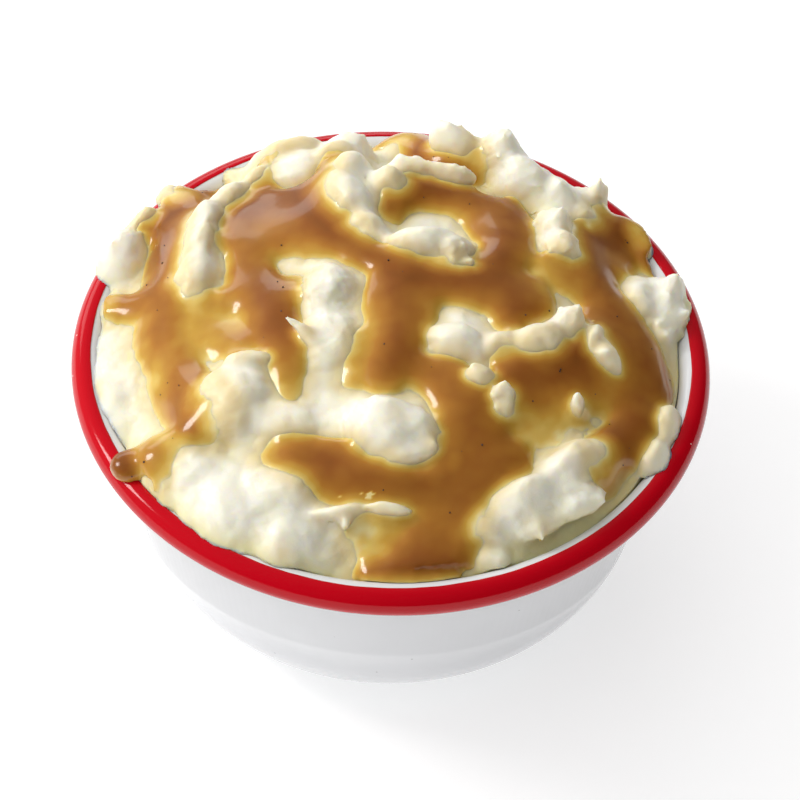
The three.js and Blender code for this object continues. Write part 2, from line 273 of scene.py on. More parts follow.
# broad lobes: name, x, y, top above the rim plane, half-length and half-width at their foot, turn
MOUNDS = [
    ("left rim lobe", -52.5, 21, 7.8, 12, 7.5, 75),
    ("left rim lobe foot", -48.6, 30.5, 6.8, 6, 4.8, 50),
    ("left wall lobe", -50.2, -10, 4.4, 15, 6.6, 97),
    ("left wall lobe low", -43.5, -21.5, 4.2, 7, 4.5, 116),
    ("tall left ridge", -37.0, 9.5, 16.0, 10, 4.8, 92),
    ("tall left ridge middle", -37.0, 16, 16.0, 9, 4.8, 89),
    ("tall left ridge back", -36.0, 23, 15.2, 8, 4.8, 78),
    ("ridge bend", -32.5, 30, 13.8, 7.5, 4.4, 58),
    ("back left rim film", -42, 35, 6.0, 10, 5.0, 130),
    ("back left rim strip", -31.5, 43.5, 4.2, 5, 3.4, 145),
    ("left rim foot", -52.5, 8, 4.4, 7, 4.0, 84),
    ("ridge back end", -27.5, 37, 12.5, 6, 3.4, 62),
    ("back left lobe", -19, 38.0, 14.5, 9, 6.5, 10),
    ("back left lobe top", -12.5, 41.5, 15.6, 7, 4.6, 20),
    ("back left edge", -21, 45.5, 12.3, 10, 4.8, 12),
    ("back edge", -10.5, 46.0, 13.8, 7, 4.2, 2),
    ("back pour bed", 2.5, 49.5, 9.0, 8, 5.5, 0),
    ("crown lobe", -10, 26, 21.6, 9, 6, 104),
    ("crown lobe back", -9.5, 34, 20.2, 7, 5.2, 66),
    ("crown lobe foot", -5.5, 17.5, 20.6, 7, 4.8, 120),
    ("crown shoulder", -2.5, 31, 20.2, 5.5, 5, 0),
    ("crown knob", 5.0, 13.5, 22.6, 9.5, 5.4, 4),
    ("crown knob end", 10.3, 12.2, 21.6, 4.8, 5, -30),
    ("back right crest", 19, 43, 19, 8.5, 6.5, -30),
    ("back right crest face", 24, 37.5, 17.6, 8.5, 6.5, -50),
    ("back right shoulder", 30, 34, 15.5, 7, 5.2, -48),
    ("back right slope", 34.5, 31, 12.5, 6, 4.4, -62),
    ("right curd ridge", 30.0, 25, 16.5, 5.5, 4.4, 105),
    ("right curd ridge low", 31.4, 18.8, 17.0, 4.6, 4.0, 95),
    ("right rim lobe", 50.3, 13, 8.6, 9, 6.4, 92),
    ("right rim lobe inside", 46, 13, 9.6, 7, 4.4, 100),
    ("right rim lobe low", 50.5, 6.5, 6.4, 4.5, 3.2, 80),
    ("back right rim film", 44.5, 32.5, 5.6, 10, 4.8, -58),
    ("middle pillar", -12.4, 2, 20.4, 7.5, 6.2, 78),
    ("middle pillar low", -11.4, -8.5, 19.2, 8, 6.2, 94),
    ("left middle lump", -27.5, -22, 17.2, 8.5, 8, 30),
    ("left middle lump tail", -19, -26, 15.0, 8, 4.6, -14),
    ("crescent head", 11.5, -9.5, 20.2, 6.4, 4.6, 0),
    ("crescent middle", 19.5, -9.2, 19.0, 6.5, 3.8, 12),
    ("front ball", 0, -29, 19.6, 8.4, 7.2, -5),
    ("front ball right", 4.8, -29.5, 18.4, 5.6, 5.4, 10),
    ("right edge lobe", 51.0, -16, 7.4, 7, 4.0, 76),
    ("right edge lobe low", 48.6, -23.5, 6.6, 6.5, 4.0, 62),
    ("front right lobe", 33.5, -31, 12.8, 10, 5.2, 42),
    ("front right lobe low", 25, -38.5, 12, 10, 5.2, 33),
    ("front right toe", 18.5, -44, 9.5, 5, 3.8, 15),
    ("front left lobe", -35.5, -32, 9.8, 11, 8, -50),
    ("front left slope", -36.5, -35, 6.2, 9, 5, -45),
    ("front left swell", -27, -40.5, 9.4, 12, 8, -32),
    ("front left knob", -18.5, -39.5, 12.0, 9, 6, -10),
    ("front left knee", -16, -45.0, 8.4, 8, 6.5, 60),
    ("front left foot", -24, -46.0, 5.8, 14, 5.5, -25),
    ("front low swell", -11, -49.8, 4.6, 8, 3.2, 8),
]

# thin folds and nubs: the same, with their half-thickness before the turn
FOLDS = [
    ("back crest", 10, 45.0, 18.0, 5.5, 3.2, 5, -25),
    ("crown knob lip", 10.0, 8.6, 19.4, 5.4, 1.5, 2.4, 8),
    ("back ridge", 2, 36, 18.7, 5, 2.0, 4.5, -4),
    ("back ridge right", 9, 35.2, 18.4, 6, 2.0, 4.5, -12),
    ("back right ear", 37.8, 37, 13.5, 2.6, 1.8, 5, 45),
    ("back right ear root", 35.5, 36, 10.5, 6, 4, 5, -40),
    ("right corner", 52.3, 16, 9.4, 4, 3.0, 5, 60),
    ("left middle brow", -25.5, -15.0, 16.8, 5, 2.0, 3.4, 6),
    ("crescent arm", 26.5, -7.8, 19.0, 6.5, 3.6, 4.6, 32),
    ("crescent tip", 32.3, -2.2, 18.2, 4.6, 3.6, 4.4, 58),
    ("front ball lip", 4.4, -34.6, 15.8, 5.6, 1.6, 2.4, 14),
    ("nub by the crescent", 16, -17.3, 19, 3, 2.3, 3.2, 0),
    ("upper nub", 20.8, -20.5, 17.6, 2.0, 2.2, 3, 60),
    ("lower nub", 20.6, -22.8, 16.2, 2.0, 2.3, 3, 100),
    ("right nub", 34, -19, 15, 1.6, 2.4, 4, 0),
    ("right shard", 37.8, -3.5, 16.3, 4.2, 1.6, 4, 75),
    ("right spur", 39.4, -6, 14.4, 5.6, 2.8, 4, -64),
    ("front right flap", 34.5, -38.6, 8.6, 7, 2.6, 2.4, 35),
    ("front right flap low", 28, -43.0, 7.6, 5.5, 2.6, 2.2, 20),
    ("front small lump", 20, -49.0, 5, 3.6, 2.3, 4, 15),
    ("front fold", -8, -44.6, 10.9, 5.5, 1.2, 1.9, 1),
    ("front fold right", 1, -44.3, 11.2, 4.5, 1.2, 1.8, 4),
    ("front fold drop", -6.5, -46.5, 9.4, 1.5, 1.2, 1.6, 80),
]

# torn tips that stand off a lobe: x, y, height of the tip, radius at the root, length, heading, rise
TIPS = [
    (-19.5, -8.0, 20.5, 1.8, 4.0, 150, 25),
    (29.0, -47.0, 5.6, 2.2, 4.6, -75, -20),
    (39.8, -38.2, 7.0, 2.2, 4.6, -25, -10),
    (38.4, 38.0, 14.0, 1.7, 2.6, 70, 60),
    (53.6, 17.6, 9.3, 1.7, 2.8, 60, 30),
    (55.6, 9.5, 6.0, 1.5, 2.4, -20, 10),
]

# patches of curds, on the surface: x, y, spread across, number
CURDS = [
    (13.5, 35.3, 1.6, 12), (17.5, 34.0, 1.4, 9), (0.0, 36.8, 1.2, 5), (4.5, 36.3, 1.2, 4),
    (30.5, 24, 3.4, 18), (32, 17, 2.4, 10), (28, 20, 2.0, 8),
    (20.5, -21, 1.8, 6), (16, -17, 2.0, 6), (33.8, -18, 1.4, 4),
    (-7.5, -28, 1.8, 5), (9.5, -32.5, 2.0, 7), (12.5, 8.5, 2.2, 9), (37.5, -8, 1.8, 6),
    (-54, 27, 2.4, 8), (-55.5, 19, 2.4, 7), (54, 14, 2.4, 8), (54.5, 7, 2.4, 7),
    (22, 44.5, 3.6, 12), (11, 46.5, 2.6, 8), (30, 36.5, 3.0, 9), (-20, 48, 4.0, 8),
    (-8, 48.5, 4.0, 8), (33.5, 2, 1.8, 6),
]

# patches where the mash is dry and grainy: x, y, radius
GRAINY = [(-12.5, 2, 8), (-12, -8, 7), (30.5, 23, 7), (31, 17, 6), (15, 35, 6), (12, 9, 5), (33, 0, 5),
          (-53, 27, 7), (53, 13, 8), (20, 42, 9), (37, 37, 5), (34, -40, 6), (-36, -22, 4), (20, -22, 4)]


def plain_heap(r):
    """Height of the plain heap above the rim plane at a radius, in millimetres."""
    k = max(0.0, 1 - (r / HEAP_RADIUS) ** 2)
    return HEAP_FOOT + HEAP_RISE * k ** HEAP_FULLNESS


def on_heap(x, y, height):
    return (x * MM, y * MM, RIM_HEIGHT + height * MM)


heap_floor = RIM_HEIGHT - 15 * MM
heap_line = [(0, heap_floor), (inner_radius(heap_floor) + 2 * MM, heap_floor)]
heap_line += [(inner_radius(RIM_HEIGHT) + 2 * MM, RIM_HEIGHT - 0.5 * MM)]
heap_edge = 53.2
heap_steps = 16
heap_line += [(r * MM, RIM_HEIGHT + plain_heap(r) * MM)
              for r in (heap_edge * (1 - i / heap_steps) ** 0.8 for i in range(heap_steps + 1))]
mash = turned("mash_heap", heap_line, steps=72)

# a broad lobe is the cap of a deep ellipsoid, so that it rises gently out of the heap
CAP_DEPTH = 2.6             # the ellipsoid's half-thickness, as a multiple of the cap's height
CAP_SPREAD = 1 / math.sqrt(1 - ((CAP_DEPTH - 1) / CAP_DEPTH) ** 2)
lobes = [(x, y, top, long * CAP_SPREAD, wide * CAP_SPREAD,
          CAP_DEPTH * max(2.5, top - plain_heap(math.hypot(x, y))), turn)
         for _, x, y, top, long, wide, turn in MOUNDS]
lobes += [fold[1:] for fold in FOLDS]
for x, y, top, long, wide, thick, turn in lobes:
    bpy.ops.mesh.primitive_ico_sphere_add(
        subdivisions=4, radius=1, location=on_heap(x, y, top - thick),
        rotation=(0, 0, math.radians(turn)), scale=(long * MM, wide * MM, thick * MM))

for x, y, height, root, length, heading, rise in TIPS:
    turn = Euler((0, math.radians(90 - rise), math.radians(heading)))
    point = turn.to_matrix() @ Vector((0, 0, 1))
    middle = Vector(on_heap(x, y, height)) - point * length * MM
    bpy.ops.mesh.primitive_cone_add(vertices=9, radius1=root * MM, radius2=0.55 * MM,
                                    depth=2 * length * MM, location=middle, rotation=turn)


def join_into(piece, prefixes):
    """Joins the pieces whose names start with one of the prefixes into one piece."""
    bpy.ops.object.select_all(action="DESELECT")
    for other in bpy.context.scene.objects:
        if other.type == "MESH" and other.name.startswith(prefixes):
            other.select_set(True)
    piece.select_set(True)
    bpy.context.view_layer.objects.active = piece
    bpy.ops.object.join()
    bpy.ops.object.transform_apply(location=True, rotation=True, scale=True)


join_into(mash, ("Icosphere", "Cone"))

# one curd is modelled, a ball, and its copies sit half sunk in the lobes
bpy.ops.object.select_all(action="DESELECT")
bpy.ops.mesh.primitive_ico_sphere_add(subdivisions=2, radius=1, location=(0, 0, 0))
curd = bpy.context.object
chance = random.Random(7)
mash_tree = BVHTree.FromObject(mash, bpy.context.evaluated_depsgraph_get())
for x, y, spread, number in CURDS:
    for _ in range(number):
        size = chance.uniform(0.5, 1.15)
        above = Vector(on_heap(x + chance.gauss(0, spread), y + chance.gauss(0, spread), 60))
        spot = mash_tree.ray_cast(above, Vector((0, 0, -1)))[0]
        turn = Euler([chance.uniform(0, math.tau) for _ in range(3)])
        stretch = Vector([size * chance.uniform(0.7, 1.3) * MM for _ in range(3)])
        if spot is None or math.hypot(spot.x, spot.y) > RIM_RADIUS - 2 * MM:
            continue
        copy = bpy.data.objects.new("curd_copy", curd.data.copy())
        copy.data.transform(Matrix.LocRotScale(spot, turn, stretch))
        bpy.context.collection.objects.link(copy)
bpy.data.objects.remove(curd)
join_into(mash, ("curd_copy",))


def modifier(piece, kind, **settings):
    """Adds a modifier and applies it."""
    bpy.ops.object.select_all(action="DESELECT")
    piece.select_set(True)
    bpy.context.view_layer.objects.active = piece
    added = piece.modifiers.new(kind.title(), kind)
    for key, value in settings.items():
        setattr(added, key, value)
    bpy.ops.object.modifier_apply(modifier=added.name)


def cloud_texture(name, size, hard=False, colour=False, depth=2):
    texture = bpy.data.textures.new(name, "CLOUDS")
    texture.noise_scale = size * MM
    texture.noise_depth = depth
    texture.noise_type = "HARD_NOISE" if hard else "SOFT_NOISE"
    texture.cloud_type = "COLOR" if colour else "GRAYSCALE"
    return texture


def patches(piece, name, spots):
    """A vertex group over round patches of a piece, fading towards their edges."""
    group = piece.vertex_groups.new(name=name)
    for vertex in piece.data.vertices:
        x = vertex.co.x / MM
        y = vertex.co.y / MM
        ragged = noise.noise(vertex.co / MM / 3) * 0.5
        weight = max(1 - math.hypot(x - px, y - py) / radius for px, py, radius in spots) + ragged
        if weight > 0:
            group.add([vertex.index], min(1, weight * 2.5), "REPLACE")


modifier(mash, "REMESH", mode="VOXEL", voxel_size=0.56 * MM)
modifier(mash, "SMOOTH", factor=0.5, iterations=8)


def fill_creases(piece, steps, share):
    """Fills the creases of a piece out towards its evened surface; its crests stay."""
    count = len(piece.data.vertices)
    start = np.empty(count * 3)
    piece.data.vertices.foreach_get("co", start)
    outward = np.empty(count * 3)
    piece.data.vertex_normals.foreach_get("vector", outward)
    ends = np.empty(len(piece.data.edges) * 2, dtype=np.int64)
    piece.data.edges.foreach_get("vertices", ends)
    start = start.reshape(-1, 3)
    outward = outward.reshape(-1, 3)
    ends = ends.reshape(-1, 2)
    one = np.concatenate([ends[:, 0], ends[:, 1]])
    other = np.concatenate([ends[:, 1], ends[:, 0]])
    degree = np.bincount(one, minlength=count)
    evened_out = start
    for _ in range(steps):
        evened_out = np.stack([np.bincount(one, evened_out[other, axis], count) / degree
                               for axis in range(3)], axis=1)
    lift = np.sum((evened_out - start) * outward, axis=1)
    start += outward * (np.clip(lift, 0, None) * share)[:, None]
    piece.data.vertices.foreach_set("co", start.ravel())
    piece.data.update()


fill_creases(mash, 50, 0.9)
modifier(mash, "SMOOTH", factor=0.5, iterations=4)
modifier(mash, "DISPLACE", texture=cloud_texture("mash_warp", 11, colour=True), texture_coords="LOCAL",
         direction="RGB_TO_XYZ", strength=2.4 * MM, mid_level=0.5)
modifier(mash, "DISPLACE", texture=cloud_texture("mash_creases", 3.4, hard=True, depth=2),
         texture_coords="LOCAL", direction="NORMAL", strength=0.5 * MM, mid_level=0.5)
modifier(mash, "SMOOTH", factor=0.5, iterations=2)
patches(mash, "grainy", GRAINY)
modifier(mash, "DISPLACE", texture=cloud_texture("mash_crumble", 1.0, hard=True), texture_coords="LOCAL",
         direction="NORMAL", strength=0.45 * MM, mid_level=0.5, vertex_group="grainy")
modifier(mash, "DISPLACE", texture=cloud_texture("mash_grain", 1.2), texture_coords="LOCAL",
         direction="NORMAL", strength=0.10 * MM, mid_level=0.5)


OVER_ROLL = 0.8             # a piece that doesn't drape passes the roll above this share of it
LEFT_RIDE = 0.7 * MM        # and rides up the roll by up to twice this, most at the left
FURTHEST_OUT = RIM_RADIUS * 0.998


def rest_in_bowl(piece, clearance=0.05 * MM, drapes=False):
    """Holds a piece off the bowl's wall and most of it off the roll. What drapes may hang over
    the outside of the roll; the rest passes over it near its top."""
    ball = ROLL_RADIUS + clearance
    for vertex in piece.data.vertices:
        r = math.hypot(vertex.co.x, vertex.co.y)
        if r == 0:
            continue
        up = vertex.co.z - BEAD[1]
        wall_end = wall_top[1] - BEAD[1] if r < BEAD[0] else 0
        new_r = r
        if up < wall_end:
            new_r = min(r, inner_radius(vertex.co.z) - clearance)
        elif up < OVER_ROLL * ball and not drapes:
            new_r = min(r, wall_top[0] + LEFT_RIDE * (1 - vertex.co.x / r) - clearance)
        if up >= 0 and math.hypot(r - BEAD[0], up) < ball:
            out = new_r - BEAD[0]
            from_roll = math.hypot(out, up)
            if from_roll < ball:
                new_r = BEAD[0] + out * ball / from_roll
                vertex.co.z = BEAD[1] + up * ball / from_roll
        new_r = min(new_r, FURTHEST_OUT)
        vertex.co.x *= new_r / r
        vertex.co.y *= new_r / r


rest_in_bowl(mash)

# the part far below the rim is hidden: it is cut off level and closed
bpy.ops.object.mode_set(mode="EDIT")
bpy.ops.mesh.select_all(action="SELECT")
bpy.ops.mesh.bisect(plane_co=(0, 0, RIM_HEIGHT - 11 * MM), plane_no=(0, 0, 1), use_fill=True,
                    clear_inner=True)
bpy.ops.object.mode_set(mode="OBJECT")
bpy.ops.object.shade_smooth()


def attribute_of(piece, name, values):
    """Stores one number for each vertex of a piece."""
    layer = piece.data.attributes.new(name, "FLOAT", "POINT")
    layer.data.foreach_set("value", np.asarray(values, np.float32))


# ---------------------------------------------------------------- gravy
# Thin brown roux gravy ladled over the heap: it lies deep and dark in the hollows, runs off in
# streams, thins to gold at its edges and lets the lobes stand clear.
# A level sheet is laid on the mash, evened where the gravy pools, lifted along the pours and
# sunk into the mash beyond them, then closed below and grown together with the rim drip.

# name, and the pour's course: x, y, half-width, depth
POURS = [
    ("left stream", [(-38.5, 44, 4.0, 1.2), (-40.5, 35, 4.4, 1.6), (-42.5, 26, 4.4, 2.0),
                     (-43.5, 15, 4.2, 2.6), (-43.5, 6, 4.8, 2.4), (-43, -3, 5.0, 2.8),
                     (-41, -10, 5.0, 2.4), (-38.5, -16, 5.2, 2.4), (-36.5, -22, 5.4, 2.4),
                     (-33.5, -26, 5.0, 2.0)]),
    ("left tongue", [(-44, 5, 4.6, 2.2), (-49, 6, 4.0, 2.0), (-54, 7.5, 3.0, 2.0)]),
    ("back left film", [(-45.5, 27, 4.0, 1.6), (-43.5, 33, 3.8, 1.1), (-40.5, 37.5, 3.0, 0.9)]),
    ("left foot", [(-30.5, -26.5, 3.0, 1.6), (-34.5, -27, 3.2, 2.0), (-39.5, -30.2, 3.2, 2.0),
                   (-42.5, -31, 3.8, 2.4), (-44.5, -31.3, 3.4, 2.4)]),
    ("left foot run", [(-42, -32, 3.8, 2.4), (-41, -34.5, 3.0, 2.2), (-40.5, -36, 2.4, 1.6)]),
    ("back thread", [(-19, 47, 1.3, 0.8), (-24, 45, 1.5, 1.0), (-27, 40, 2.0, 1.3), (-26, 34, 2.4, 1.6),
                     (-24, 29, 3.0, 1.8)]),
    ("upper pool", [(-29, 23, 4.2, 2.0), (-24, 22, 6, 2.6), (-18, 21.5, 5.6, 3.0), (-13, 18.5, 4.4, 2.6),
                    (-8, 15, 3.4, 2.2)]),
    ("upper pool front", [(-31, 17, 3.6, 1.6), (-22, 16, 4.2, 2.4), (-13, 14.5, 3.8, 2.4)]),
    ("upper pool head", [(-27, 30, 3.2, 1.6), (-20, 29.5, 3.8, 2.4), (-15, 30.0, 3.8, 3.0),
                         (-13.5, 35, 3.0, 2.4), (-12.8, 40, 2.2, 1.4)]),
    ("upper pool left", [(-30.5, 27.5, 2.4, 1.2), (-30.8, 24, 3.0, 1.6), (-30.0, 20, 3.2, 1.8),
                         (-28.5, 15, 3.6, 2.0)]),
    ("upper pool middle", [(-28, 25.5, 4.4, 2.4), (-17, 25, 5, 2.8), (-13.5, 18, 4, 2.4)]),
    ("left pool top", [(-43.2, 29, 3.6, 2.0), (-42.6, 23, 3.8, 2.4), (-42.6, 17, 3.8, 2.4)]),
    ("left pool shore", [(-45.8, -2, 3.2, 1.6), (-43.8, -8, 3.0, 1.6), (-41.6, -15, 2.8, 1.6),
                         (-39.6, -21, 2.6, 1.6)]),
    ("left pool bay", [(-33.5, -22, 3.8, 2.4), (-31.2, -27, 3.4, 2.2)]),
    ("left middle", [(-28, 14, 4, 2.2), (-26.5, 8, 5.0, 2.6), (-24, 1, 5.4, 3.2), (-22, -5, 5, 3.4),
                     (-20.0, -11, 4.4, 2.2), (-18.4, -17, 3.6, 1.8), (-17.8, -21, 2.6, 1.4)]),
    ("left middle edge", [(-19.5, 6, 2.2, 1.0), (-18.5, 0, 2.2, 1.0)]),
    ("left branch", [(-42, -1, 3.4, 0.9), (-35, -5, 5.0, 1.1), (-28, -9.5, 4.6, 1.3)]),
    ("left branch top", [(-35, 1.5, 3.2, 1.0), (-29, 2.5, 4.0, 1.6)]),
    ("upper link", [(-10, 13.5, 3.2, 2.2), (-5, 10.5, 3.6, 2.4), (0, 8, 3.6, 2.6), (5, 4.5, 3.2, 2.4),
                    (9, 3.5, 3.4, 2.4)]),
    ("knob foot", [(3, 6.0, 3.2, 2.0), (9.5, 6.0, 3.2, 2.0), (14, 8.0, 3.0, 1.8)]),
    ("pillar shore", [(-2.5, 4, 3.2, 2.6), (-3.8, -1.5, 2.4, 1.8), (-3, -6, 2.4, 1.4)]),
    ("middle stream", [(0, 6, 4.2, 2.4), (0.5, 0, 5.6, 3.2), (1.5, -5, 5.4, 2.6), (1, -10, 5.2, 3.0),
                       (0.5, -14, 4.8, 3.4), (-1, -18.2, 4.0, 2.8)]),
    ("middle stream shore", [(5.5, 1, 3.4, 2.0), (5.5, -3.5, 3.0, 1.8)]),
    ("middle stream edge", [(-5, -9, 2.4, 1.0), (-6, -14, 2.4, 1.2), (-7, -18, 2.4, 1.2)]),
    ("right pool", [(9, 4.5, 3.2, 2.2), (14, 4, 5.4, 2.8), (20, 3.5, 5.6, 3.0), (25.5, 4.0, 4.8, 2.6)]),
    ("right pool shore", [(20, 8, 3.0, 2.0), (26, 7.8, 3.0, 2.0)]),
    ("right pool toe", [(20, 1, 4, 2.6), (21.5, -3.6, 3.0, 2.2)]),
    ("right pool heel", [(22, -2.5, 2.6, 2.0), (26.5, 1.8, 2.6, 2.0)]),
    ("upper right stream", [(-1, 23, 2.4, 1.8), (-0.5, 28.5, 2.8, 2.4), (3, 31.5, 3.4, 2.6),
                            (8, 31.2, 3.8, 2.6), (14, 30.4, 4.0, 2.6), (20.3, 27.8, 4.8, 2.6),
                            (21.0, 21, 5.2, 2.8), (20.5, 15, 5.4, 3.2), (19.0, 10, 5.0, 3.0),
                            (18, 6, 4.6, 2.6)]),
    ("upper right run", [(1, 28.2, 2.2, 1.8), (7, 28.6, 2.2, 1.8), (13, 27.4, 2.6, 2.0),
                         (17.6, 21, 4.0, 3.2)]),
    ("back puddle", [(-4.5, 53, 2.4, 1.6), (0, 53.5, 3.4, 2.2), (3, 50.5, 4.6, 2.4),
                     (5.5, 46, 5.2, 2.6), (9, 42, 4.6, 2.2), (13.5, 40.5, 3.2, 1.8)]),
    ("right stream head", [(38.5, 31, 3.2, 1.4), (42.5, 33.0, 3.6, 1.8), (47, 31, 3.8, 2.0),
                           (50.0, 25.5, 3.4, 2.2)]),
    ("right stream left", [(37, 27, 3.6, 2.4), (35.8, 21, 3.4, 2.6), (35, 15, 3, 2.0)]),
    ("right stream", [(40.5, 29, 4.8, 2.0), (38, 24, 4.8, 2.0), (37, 18, 4.6, 2.2), (38, 12, 4.8, 2.8),
                      (41, 7, 4.5, 2.8), (45.0, 2, 5.0, 2.6), (47.5, -3, 5.0, 2.8),
                      (49, -9, 4.4, 2.4)]),
    ("right stream shore", [(43, 25, 3.4, 1.4), (42, 19, 3.0, 1.4)]),
    ("right stream inside", [(39.5, 4, 3.2, 1.8), (42.5, -2.5, 3.2, 2.0), (46, -9.5, 3.6, 2.0)]),
    ("gold patch", [(29, 14.5, 3.4, 1.4), (32, 11.5, 3.4, 1.8), (37, 9, 3.8, 2.0)]),
    ("behind the crescent", [(37.5, 4, 3.2, 2.0), (37.6, -1.5, 3.0, 2.0), (34.8, -7, 2.6, 1.8)]),
    ("right middle shore", [(21.5, -12.5, 3.2, 2.0), (20.2, -24.5, 2.6, 1.4)]),
    ("right middle pool", [(37, -10, 3.8, 2.2), (31.5, -10.5, 4.6, 2.8), (26.5, -13.5, 4.6, 2.6),
                           (24.5, -17.5, 4.2, 2.4), (31, -16, 4.4, 2.4), (38, -14, 4.2, 2.2),
                           (43, -14, 4.0, 2.0)]),
    ("right low run", [(44, -12, 4.0, 2.2), (46.5, -16, 4.2, 2.6), (44, -21.5, 4.6, 2.8),
                       (40.2, -26.5, 4.2, 3.2), (39.0, -30.6, 3.4, 2.8)]),
    ("front right run", [(6, -16, 3.8, 2.0), (11, -18, 4.4, 2.2), (14.5, -23, 4.6, 2.4),
                         (17.5, -28, 4.8, 2.6), (18.5, -33, 5.0, 2.8), (14, -38, 4.8, 2.6)]),
    ("shaded film", [(24, -23, 4.4, 0.6), (29, -22.8, 4.0, 0.6), (33.5, -19.8, 3.4, 0.6)]),
    ("ball shore", [(8.5, -20, 3, 1.8), (11.5, -24, 3.4, 2.0), (12.5, -31, 3.8, 2.4),
                    (11, -36, 3.6, 2.4)]),
    ("front right shore", [(20, -31, 3, 1.8), (24, -29.5, 2.4, 1.6)]),
    ("front arc head", [(-18, -31.8, 2.6, 1.8), (-12, -32.8, 2.8, 2.0), (-7, -34.5, 2.8, 2.0)]),
    ("front arc", [(-20.5, -33.5, 2.8, 1.2), (-14.6, -36.2, 4.2, 2.0), (-9, -38.3, 4.6, 2.6),
                   (-2, -39.8, 4.4, 2.8), (5, -40.6, 4.0, 2.6), (12, -39, 4.2, 2.4), (19, -36, 3.8, 2.4),
                   (24, -33, 2.8, 2.0)]),
    ("front tail", [(12, -41, 5.0, 1.8), (10, -46, 5.6, 2.2), (8.2, -50, 6.2, 2.4),
                    (6.5, -53, 7.2, 2.4)]),
    ("front tail shore", [(15.8, -42, 3.2, 1.8), (14.4, -48, 3.0, 1.8), (12.8, -52, 3.4, 1.8)]),
    ("front tail end", [(-2.6, -53.0, 2.4, 1.4), (1, -53.4, 3, 1.8), (5, -53.6, 3, 1.8),
                        (12, -52.6, 3, 1.6)]),
    ("under the fold", [(-3, -48.2, 1.6, 0.4), (2, -47.8, 2.2, 0.8)]),
]

GRAVY_CELL = 0.5
NO_MASH = -14.0             # height that stands for a place with no mash
SEARCHED = 3500             # no mash is looked for beyond this, the distance from the axis squared
GRAVY_DIP = 1.7             # how far the skin sinks into the mash beyond a pour
KEPT_DIP = -1.3             # the sheet is kept where it dips less than this
LOWEST_BED = -9             # and where the mash under it is higher than this
EDGE_WANDER = 0.55          # unevenness of the pours' edges, as a depth
EDGE_SPREAD = 0.9           # how softly a pour's edge rises
POOL_SPREAD = 2.4           # how softly pours run into each other where they are deep
SKIN = 2.4 * MM             # thickness of the sheet before it grows together


def heights_below(piece, xs, ys):
    """Heights of a piece's upper side above the rim plane, in millimetres, at a grid of places."""
    tree = BVHTree.FromObject(piece, bpy.context.evaluated_depsgraph_get())
    down = Vector((0, 0, -1))
    found = np.full((len(ys), len(xs)), NO_MASH)
    for j, y in enumerate(ys):
        for i, x in enumerate(xs):
            if x * x + y * y > SEARCHED:
                continue
            hit = tree.ray_cast(Vector((x * MM, y * MM, RIM_HEIGHT + 60 * MM)), down)[0]
            if hit is not None:
                found[j, i] = (hit.z - RIM_HEIGHT) / MM
    return found


def blurred(values, spread):
    """A grid of values after each has spread out to its neighbours, by a spread in millimetres."""
    reach = int(3 * spread / GRAVY_CELL)
    weights = np.exp(-0.5 * (np.arange(-reach, reach + 1) * GRAVY_CELL / spread) ** 2)
    weights /= weights.sum()
    padded = np.pad(values, reach, mode="edge")
    rows = sum(w * padded[:, k:k + values.shape[1]] for k, w in enumerate(weights))
    return sum(w * rows[k:k + values.shape[0], :] for k, w in enumerate(weights))


def evened(height, spread):
    """The mash after its hollows and crests within a spread have evened out; its edge stays."""
    there = (height > NO_MASH + 2).astype(float)
    return blurred(height * there, spread) / np.maximum(blurred(there, spread), 1e-3)


def pour_depth(gx, gy):
    """Depth of gravy above the evened mash: deepest along a pour, below zero beyond its edge."""
    depth = np.full(gx.shape, -GRAVY_DIP)
    for _, course in POURS:
        for (ax, ay, aw, ad), (bx, by, bw, bd) in zip(course, course[1:]):
            t = ((gx - ax) * (bx - ax) + (gy - ay) * (by - ay)) / ((bx - ax) ** 2 + (by - ay) ** 2)
            t = np.clip(t, 0, 1)
            away = np.hypot(gx - ax - t * (bx - ax), gy - ay - t * (by - ay))
            q = away / (aw + t * (bw - aw))
            deep = ad + t * (bd - ad)
            depth = np.maximum(depth, np.where(q < 1, deep * (1 - q * q), 2 * deep * (1 - q)))
    return depth


half_cells = int(58 / GRAVY_CELL)
grid_line = np.arange(-half_cells, half_cells + 1) * GRAVY_CELL
gx, gy = np.meshgrid(grid_line, grid_line)
mash_height = heights_below(mash, grid_line, grid_line)
wander = np.array([[noise.noise(Vector((x, y, 3)) / 2.6) * 0.5 + noise.noise(Vector((x, y, 9)) / 6.5)
                    for x in grid_line] for y in grid_line])
poured = pour_depth(gx, gy)
depth = blurred(poured, EDGE_SPREAD)
settled = np.clip(depth / 1.8, 0, 1)
depth = (1 - settled) * depth + settled * blurred(poured, POOL_SPREAD)
depth += EDGE_WANDER * wander * np.clip(1 - depth / 1.2, 0, 1)
pooling = np.clip(depth / 1.4, 0, 1)
ripple = np.array([[noise.noise(Vector((x, y, 20)) / 5.0) for x in grid_line] for y in grid_line])
level = (1 - pooling) * evened(mash_height, 0.8) + pooling * evened(mash_height, 4.0)
gravy_height = level + depth + 0.08 * ripple * pooling

